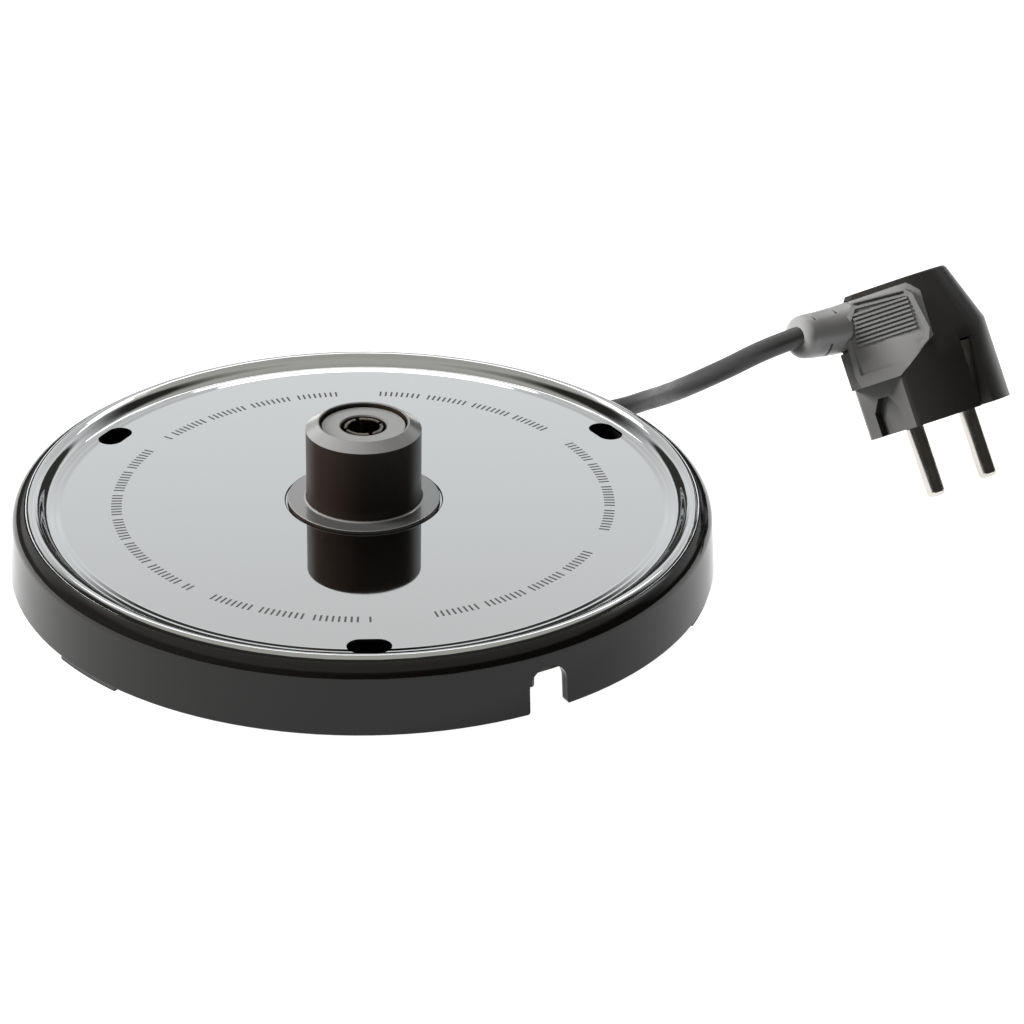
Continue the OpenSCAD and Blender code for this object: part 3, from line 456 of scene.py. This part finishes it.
def make_finishes():
    """One material for each of the record's slots."""
    made = {
        "plate_steel": Finish("plate_steel", (0.565, 0.572, 0.575), 0.03, metallic=1.0)
        .vary_roughness(60, 0.02, 0.045).radial_rise(SHEET_EDGE),
        "housing_gloss": Finish("housing_gloss", (0.004, 0.0036, 0.0033), 0.08, specular=0.29)
        .vary_roughness(90, 0.06, 0.11).bump(40, 0.00001),
        "cover_plastic": Finish("cover_plastic", (0.012, 0.0115, 0.011), 0.45)
        .vary_roughness(200, 0.38, 0.52).bump(2500, 0.00004),
        "screw_steel": Finish("screw_steel", (0.62, 0.62, 0.62), 0.3, metallic=1.0)
        .vary_roughness(900, 0.22, 0.4),
        "foot_rubber": Finish("foot_rubber", (0.02, 0.02, 0.02), 0.75)
        .bump(1800, 0.00005),
        # Tower sides are dark brown; the lighter grey on its upward slopes is painted light, and faces looking
        # nearly straight up get a dimmer painted light
        "connector_plastic": Finish("connector_plastic", (0.009, 0.006, 0.0045), 0.42, specular=0.3)
        .coating(0.17, 2.4).shine_facing(UP, 0.18, 1, 0.5, 0.98).facing(UP, (0.115, 0.1145, 0.113))
        .facing(UP, (0.05, 0.0495, 0.049), 0.93, 0.99).bump(3000, 0.00002),
        # The lighter grey on the disc's upward faces is painted light; its sides stay dark
        "shutter_plastic": Finish("shutter_plastic", (0.012, 0.010, 0.008), 0.45, coat=1.0)
        .coating(0.32, 1.7).facing(UP, (0.105, 0.1045, 0.103)).bump(3000, 0.00004),
        "spring_steel": Finish("spring_steel", (0.6, 0.6, 0.61), 0.25, metallic=1.0)
        .vary_roughness(1200, 0.2, 0.32),
        # Faces that look up are painted darker: painted shade on the socket's rim and tops
        "socket_metal": Finish("socket_metal", (0.3, 0.27, 0.24), 0.22, metallic=1.0)
        .facing(UP, (0.12, 0.11, 0.10), 0.8, 0.95).vary_roughness(900, 0.16, 0.3),
        "contact_brass": Finish("contact_brass", (0.72, 0.5, 0.24), 0.28, metallic=1.0)
        .vary_roughness(900, 0.2, 0.36),
        "carrier_plastic": Finish("carrier_plastic", (0.75, 0.72, 0.64), 0.5)
        .bump(2500, 0.00003),
        "lead_brown": Finish("lead_brown", (0.12, 0.045, 0.02), 0.4).bump(1500, 0.00002),
        "lead_blue": Finish("lead_blue", (0.02, 0.1, 0.45), 0.4).bump(1500, 0.00002),
        "lead_green": Finish("lead_green", (0.2, 0.42, 0.06), 0.4).bump(1500, 0.00002),
        "cord_jacket": Finish("cord_jacket", (0.024, 0.024, 0.024), 0.42)
        .vary_roughness(250, 0.36, 0.5).bump(1800, 0.00003),
        # The lighter colour on faces that look along the plug's -x axis, towards the left lamp, is painted light;
        # the grip pads are their own grey
        "plug_plastic": Finish("plug_plastic", (0.010, 0.0092, 0.0086), 0.42, specular=0.2, coat=0.3)
        .coating(0.3, 1.5).facing(-PLUG_AXES[0], (0.05, 0.049, 0.048), 0.84, 0.93)
        .within(pad_room(1), PAD_GREY).within(pad_room(-1), PAD_GREY).bump(3200, 0.00004),
        "relief_plastic": Finish("relief_plastic", (0.14, 0.139, 0.138), 0.4, coat=0.5)
        .coating(0.3, 1.5).vary_roughness(250, 0.34, 0.46).bump(3200, 0.00004),
        "bridge_plastic": Finish("bridge_plastic", (0.03, 0.03, 0.03), 0.5)
        .bump(2500, 0.00003),
        "pin_nickel": Finish("pin_nickel", (0.66, 0.64, 0.6), 0.2, metallic=1.0)
        .vary_roughness(250, 0.15, 0.22),
        # The clip's dark, dull nickel is painted shade for the clip down in its slot
        "clip_nickel": Finish("clip_nickel", (0.12, 0.11, 0.10), 0.4, metallic=1.0)
        .vary_roughness(700, 0.36, 0.46),
        "print_ink": Finish("print_ink", (0.03, 0.03, 0.03), 0.5),
    }
    return {name: finish.material for name, finish in made.items()}


def dress_nodes(finishes):
    """Gives each CAD node its material."""
    for name, nodes in FINISHES.items():
        for node in nodes:
            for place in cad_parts[node].material_slots:
                place.material = finishes[name]


def make_spring(finish):
    """Spring under the shutter, copied from the CAD node onto a mesh of its own."""
    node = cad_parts["shutter_spring"]
    mesh = node.data.copy()
    mesh.materials.clear()
    mesh.materials.append(finish)
    spring = bpy.data.objects.new("spring", mesh)
    spring.matrix_world = node.matrix_world
    bpy.context.scene.collection.objects.link(spring)
    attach(spring, "base")
    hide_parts("shutter_spring")
    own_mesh(spring)


def make_marks(finish):
    """Ring of short radial marks printed on the plate, in groups."""
    level = PLATE_Z + MARK_LIFT
    points, faces = [], []
    for start, end in MARK_ARCS:
        count = int((end - start) / MARK_STEP)
        for i in range(count):
            if i % WORD == WORD - 1:
                continue
            turn = math.radians(start + i * MARK_STEP)
            out = Vector((math.cos(turn), math.sin(turn), 0))
            across = Vector((-out.y, out.x, 0)) * MARK_W / 2
            first = len(points)
            for reach, side in ((-1, -1), (1, -1), (1, 1), (-1, 1)):
                points.append((out * (MARK_R + reach * MARK_L / 2) + across * side + Vector((0, 0, level))) * MM)
            faces.append([first, first + 1, first + 2, first + 3])
    mesh = bpy.data.meshes.new("printed_marks")
    mesh.from_pydata(points, [], faces)
    mesh.materials.append(finish)
    marks = bpy.data.objects.new("printed_marks", mesh)
    bpy.context.scene.collection.objects.link(marks)
    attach(marks, "base")


def smooth_piece(mesh, angle):
    """Shading normals that run smoothly over faces which meet at less than the angle, in degrees."""
    at_corner = {}
    for face in mesh.polygons:
        for vertex in face.vertices:
            spot = tuple(round(c, 6) for c in mesh.vertices[vertex].co)
            at_corner.setdefault(spot, []).append((face.normal.copy(), face.area))
    limit = math.cos(math.radians(angle))
    normals = []
    for face in mesh.polygons:
        for vertex in face.vertices:
            spot = tuple(round(c, 6) for c in mesh.vertices[vertex].co)
            near = [normal * area for normal, area in at_corner[spot] if normal.dot(face.normal) > limit]
            normals.append(sum(near, Vector()).normalized() if near else face.normal.copy())
    mesh.shade_smooth()
    mesh.normals_split_custom_set(normals)


def make_floor():
    """Plain pale floor that glows a little, like a light table."""
    bpy.ops.mesh.primitive_plane_add(size=30, location=(0, 0, 0))
    floor = bpy.context.object
    floor.name = "floor"
    paint = bpy.data.materials.new("floor_paint")
    paint.use_nodes = True
    shader = paint.node_tree.nodes["Principled BSDF"]
    shader.inputs["Base Color"].default_value = (0.2, 0.2, 0.2, 1)
    shader.inputs["Roughness"].default_value = 1
    shader.inputs["Specular IOR Level"].default_value = 0
    shader.inputs["Emission Color"].default_value = (1, 1, 1, 1)
    shader.inputs["Emission Strength"].default_value = FLOOR_GLOW
    floor.data.materials.append(paint)


def sky_ramp(tree, height, levels):
    """Brightness of the studio by elevation, from the sine of the elevation."""
    ramp = tree.nodes.new("ShaderNodeValToRGB")
    elements = ramp.color_ramp.elements
    while len(elements) < len(levels):
        elements.new(0.5)
    for element, (elevation, level, tint) in zip(elements, levels):
        element.position = math.sin(math.radians(elevation))
    for element, (elevation, level, tint) in zip(elements, levels):
        element.color = (*(level / SKY_PEAK * part for part in tint), 1)
    tree.links.new(height, ramp.inputs["Fac"])
    return ramp.outputs["Color"]


def make_studio():
    """Studio world: bright walls behind the object and dark ones on the near side."""
    world = bpy.data.worlds.new("studio")
    bpy.context.scene.world = world
    world.use_nodes = True
    tree = world.node_tree
    direction = tree.nodes.new("ShaderNodeSeparateXYZ")
    tree.links.new(tree.nodes.new("ShaderNodeTexCoord").outputs["Generated"], direction.inputs["Vector"])
    share = tree.nodes.new("ShaderNodeMapRange")
    share.interpolation_type = "SMOOTHSTEP"
    share.inputs["From Min"].default_value, share.inputs["From Max"].default_value = SKY_TURN
    tree.links.new(direction.outputs["Y"], share.inputs["Value"])
    mix = tree.nodes.new("ShaderNodeMix")
    mix.data_type = "RGBA"
    tree.links.new(share.outputs["Result"], mix.inputs[0])
    tree.links.new(sky_ramp(tree, direction.outputs["Z"], NEAR_SKY), mix.inputs[6])
    tree.links.new(sky_ramp(tree, direction.outputs["Z"], FAR_SKY), mix.inputs[7])
    background = tree.nodes["Background"]
    tree.links.new(mix.outputs[2], background.inputs["Color"])
    background.inputs["Strength"].default_value = SKY_PEAK


def soft_light(name, at, target, size, power, mirrored):
    """Soft box. Only a mirrored one shows in glossy surfaces."""
    data = bpy.data.lights.new(name, "AREA")
    data.shape = "RECTANGLE"
    data.size, data.size_y = size
    data.energy = power
    light = bpy.data.objects.new(name, data)
    bpy.context.scene.collection.objects.link(light)
    light.location = at
    light.rotation_mode = "QUATERNION"
    light.rotation_quaternion = (Vector(target) - Vector(at)).to_track_quat("-Z", "Y")
    light.visible_glossy = mirrored


def make_lights():
    """Large soft light from above, one from the left, and a strip behind that lifts the satin plastics."""
    soft_light("top_box", (0, 0.3, 2.4), (0, 0, 0), (2, 2), 18, False)
    soft_light("left_box", (-2.2, 0.0, 0.9), (0.05, 0, 0), (1.0, 1.0), 260, False)
    soft_light("back_strip", (0.05, 1.75, 1.8), (0.05, 0, 0), (2.4, 0.34), 6, True)


place_camera()
finishes = make_finishes()
make_cord(finishes["cord_jacket"], make_relief(finishes["relief_plastic"]))
make_spring(finishes["spring_steel"])
make_marks(finishes["print_ink"])
dress_nodes(finishes)
for piece in SMOOTH_PIECES:
    smooth_piece(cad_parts[piece].data, SMOOTH_ANGLE)
make_floor()
make_studio()
make_lights()
bpy.context.scene.view_settings.view_transform = "Standard"
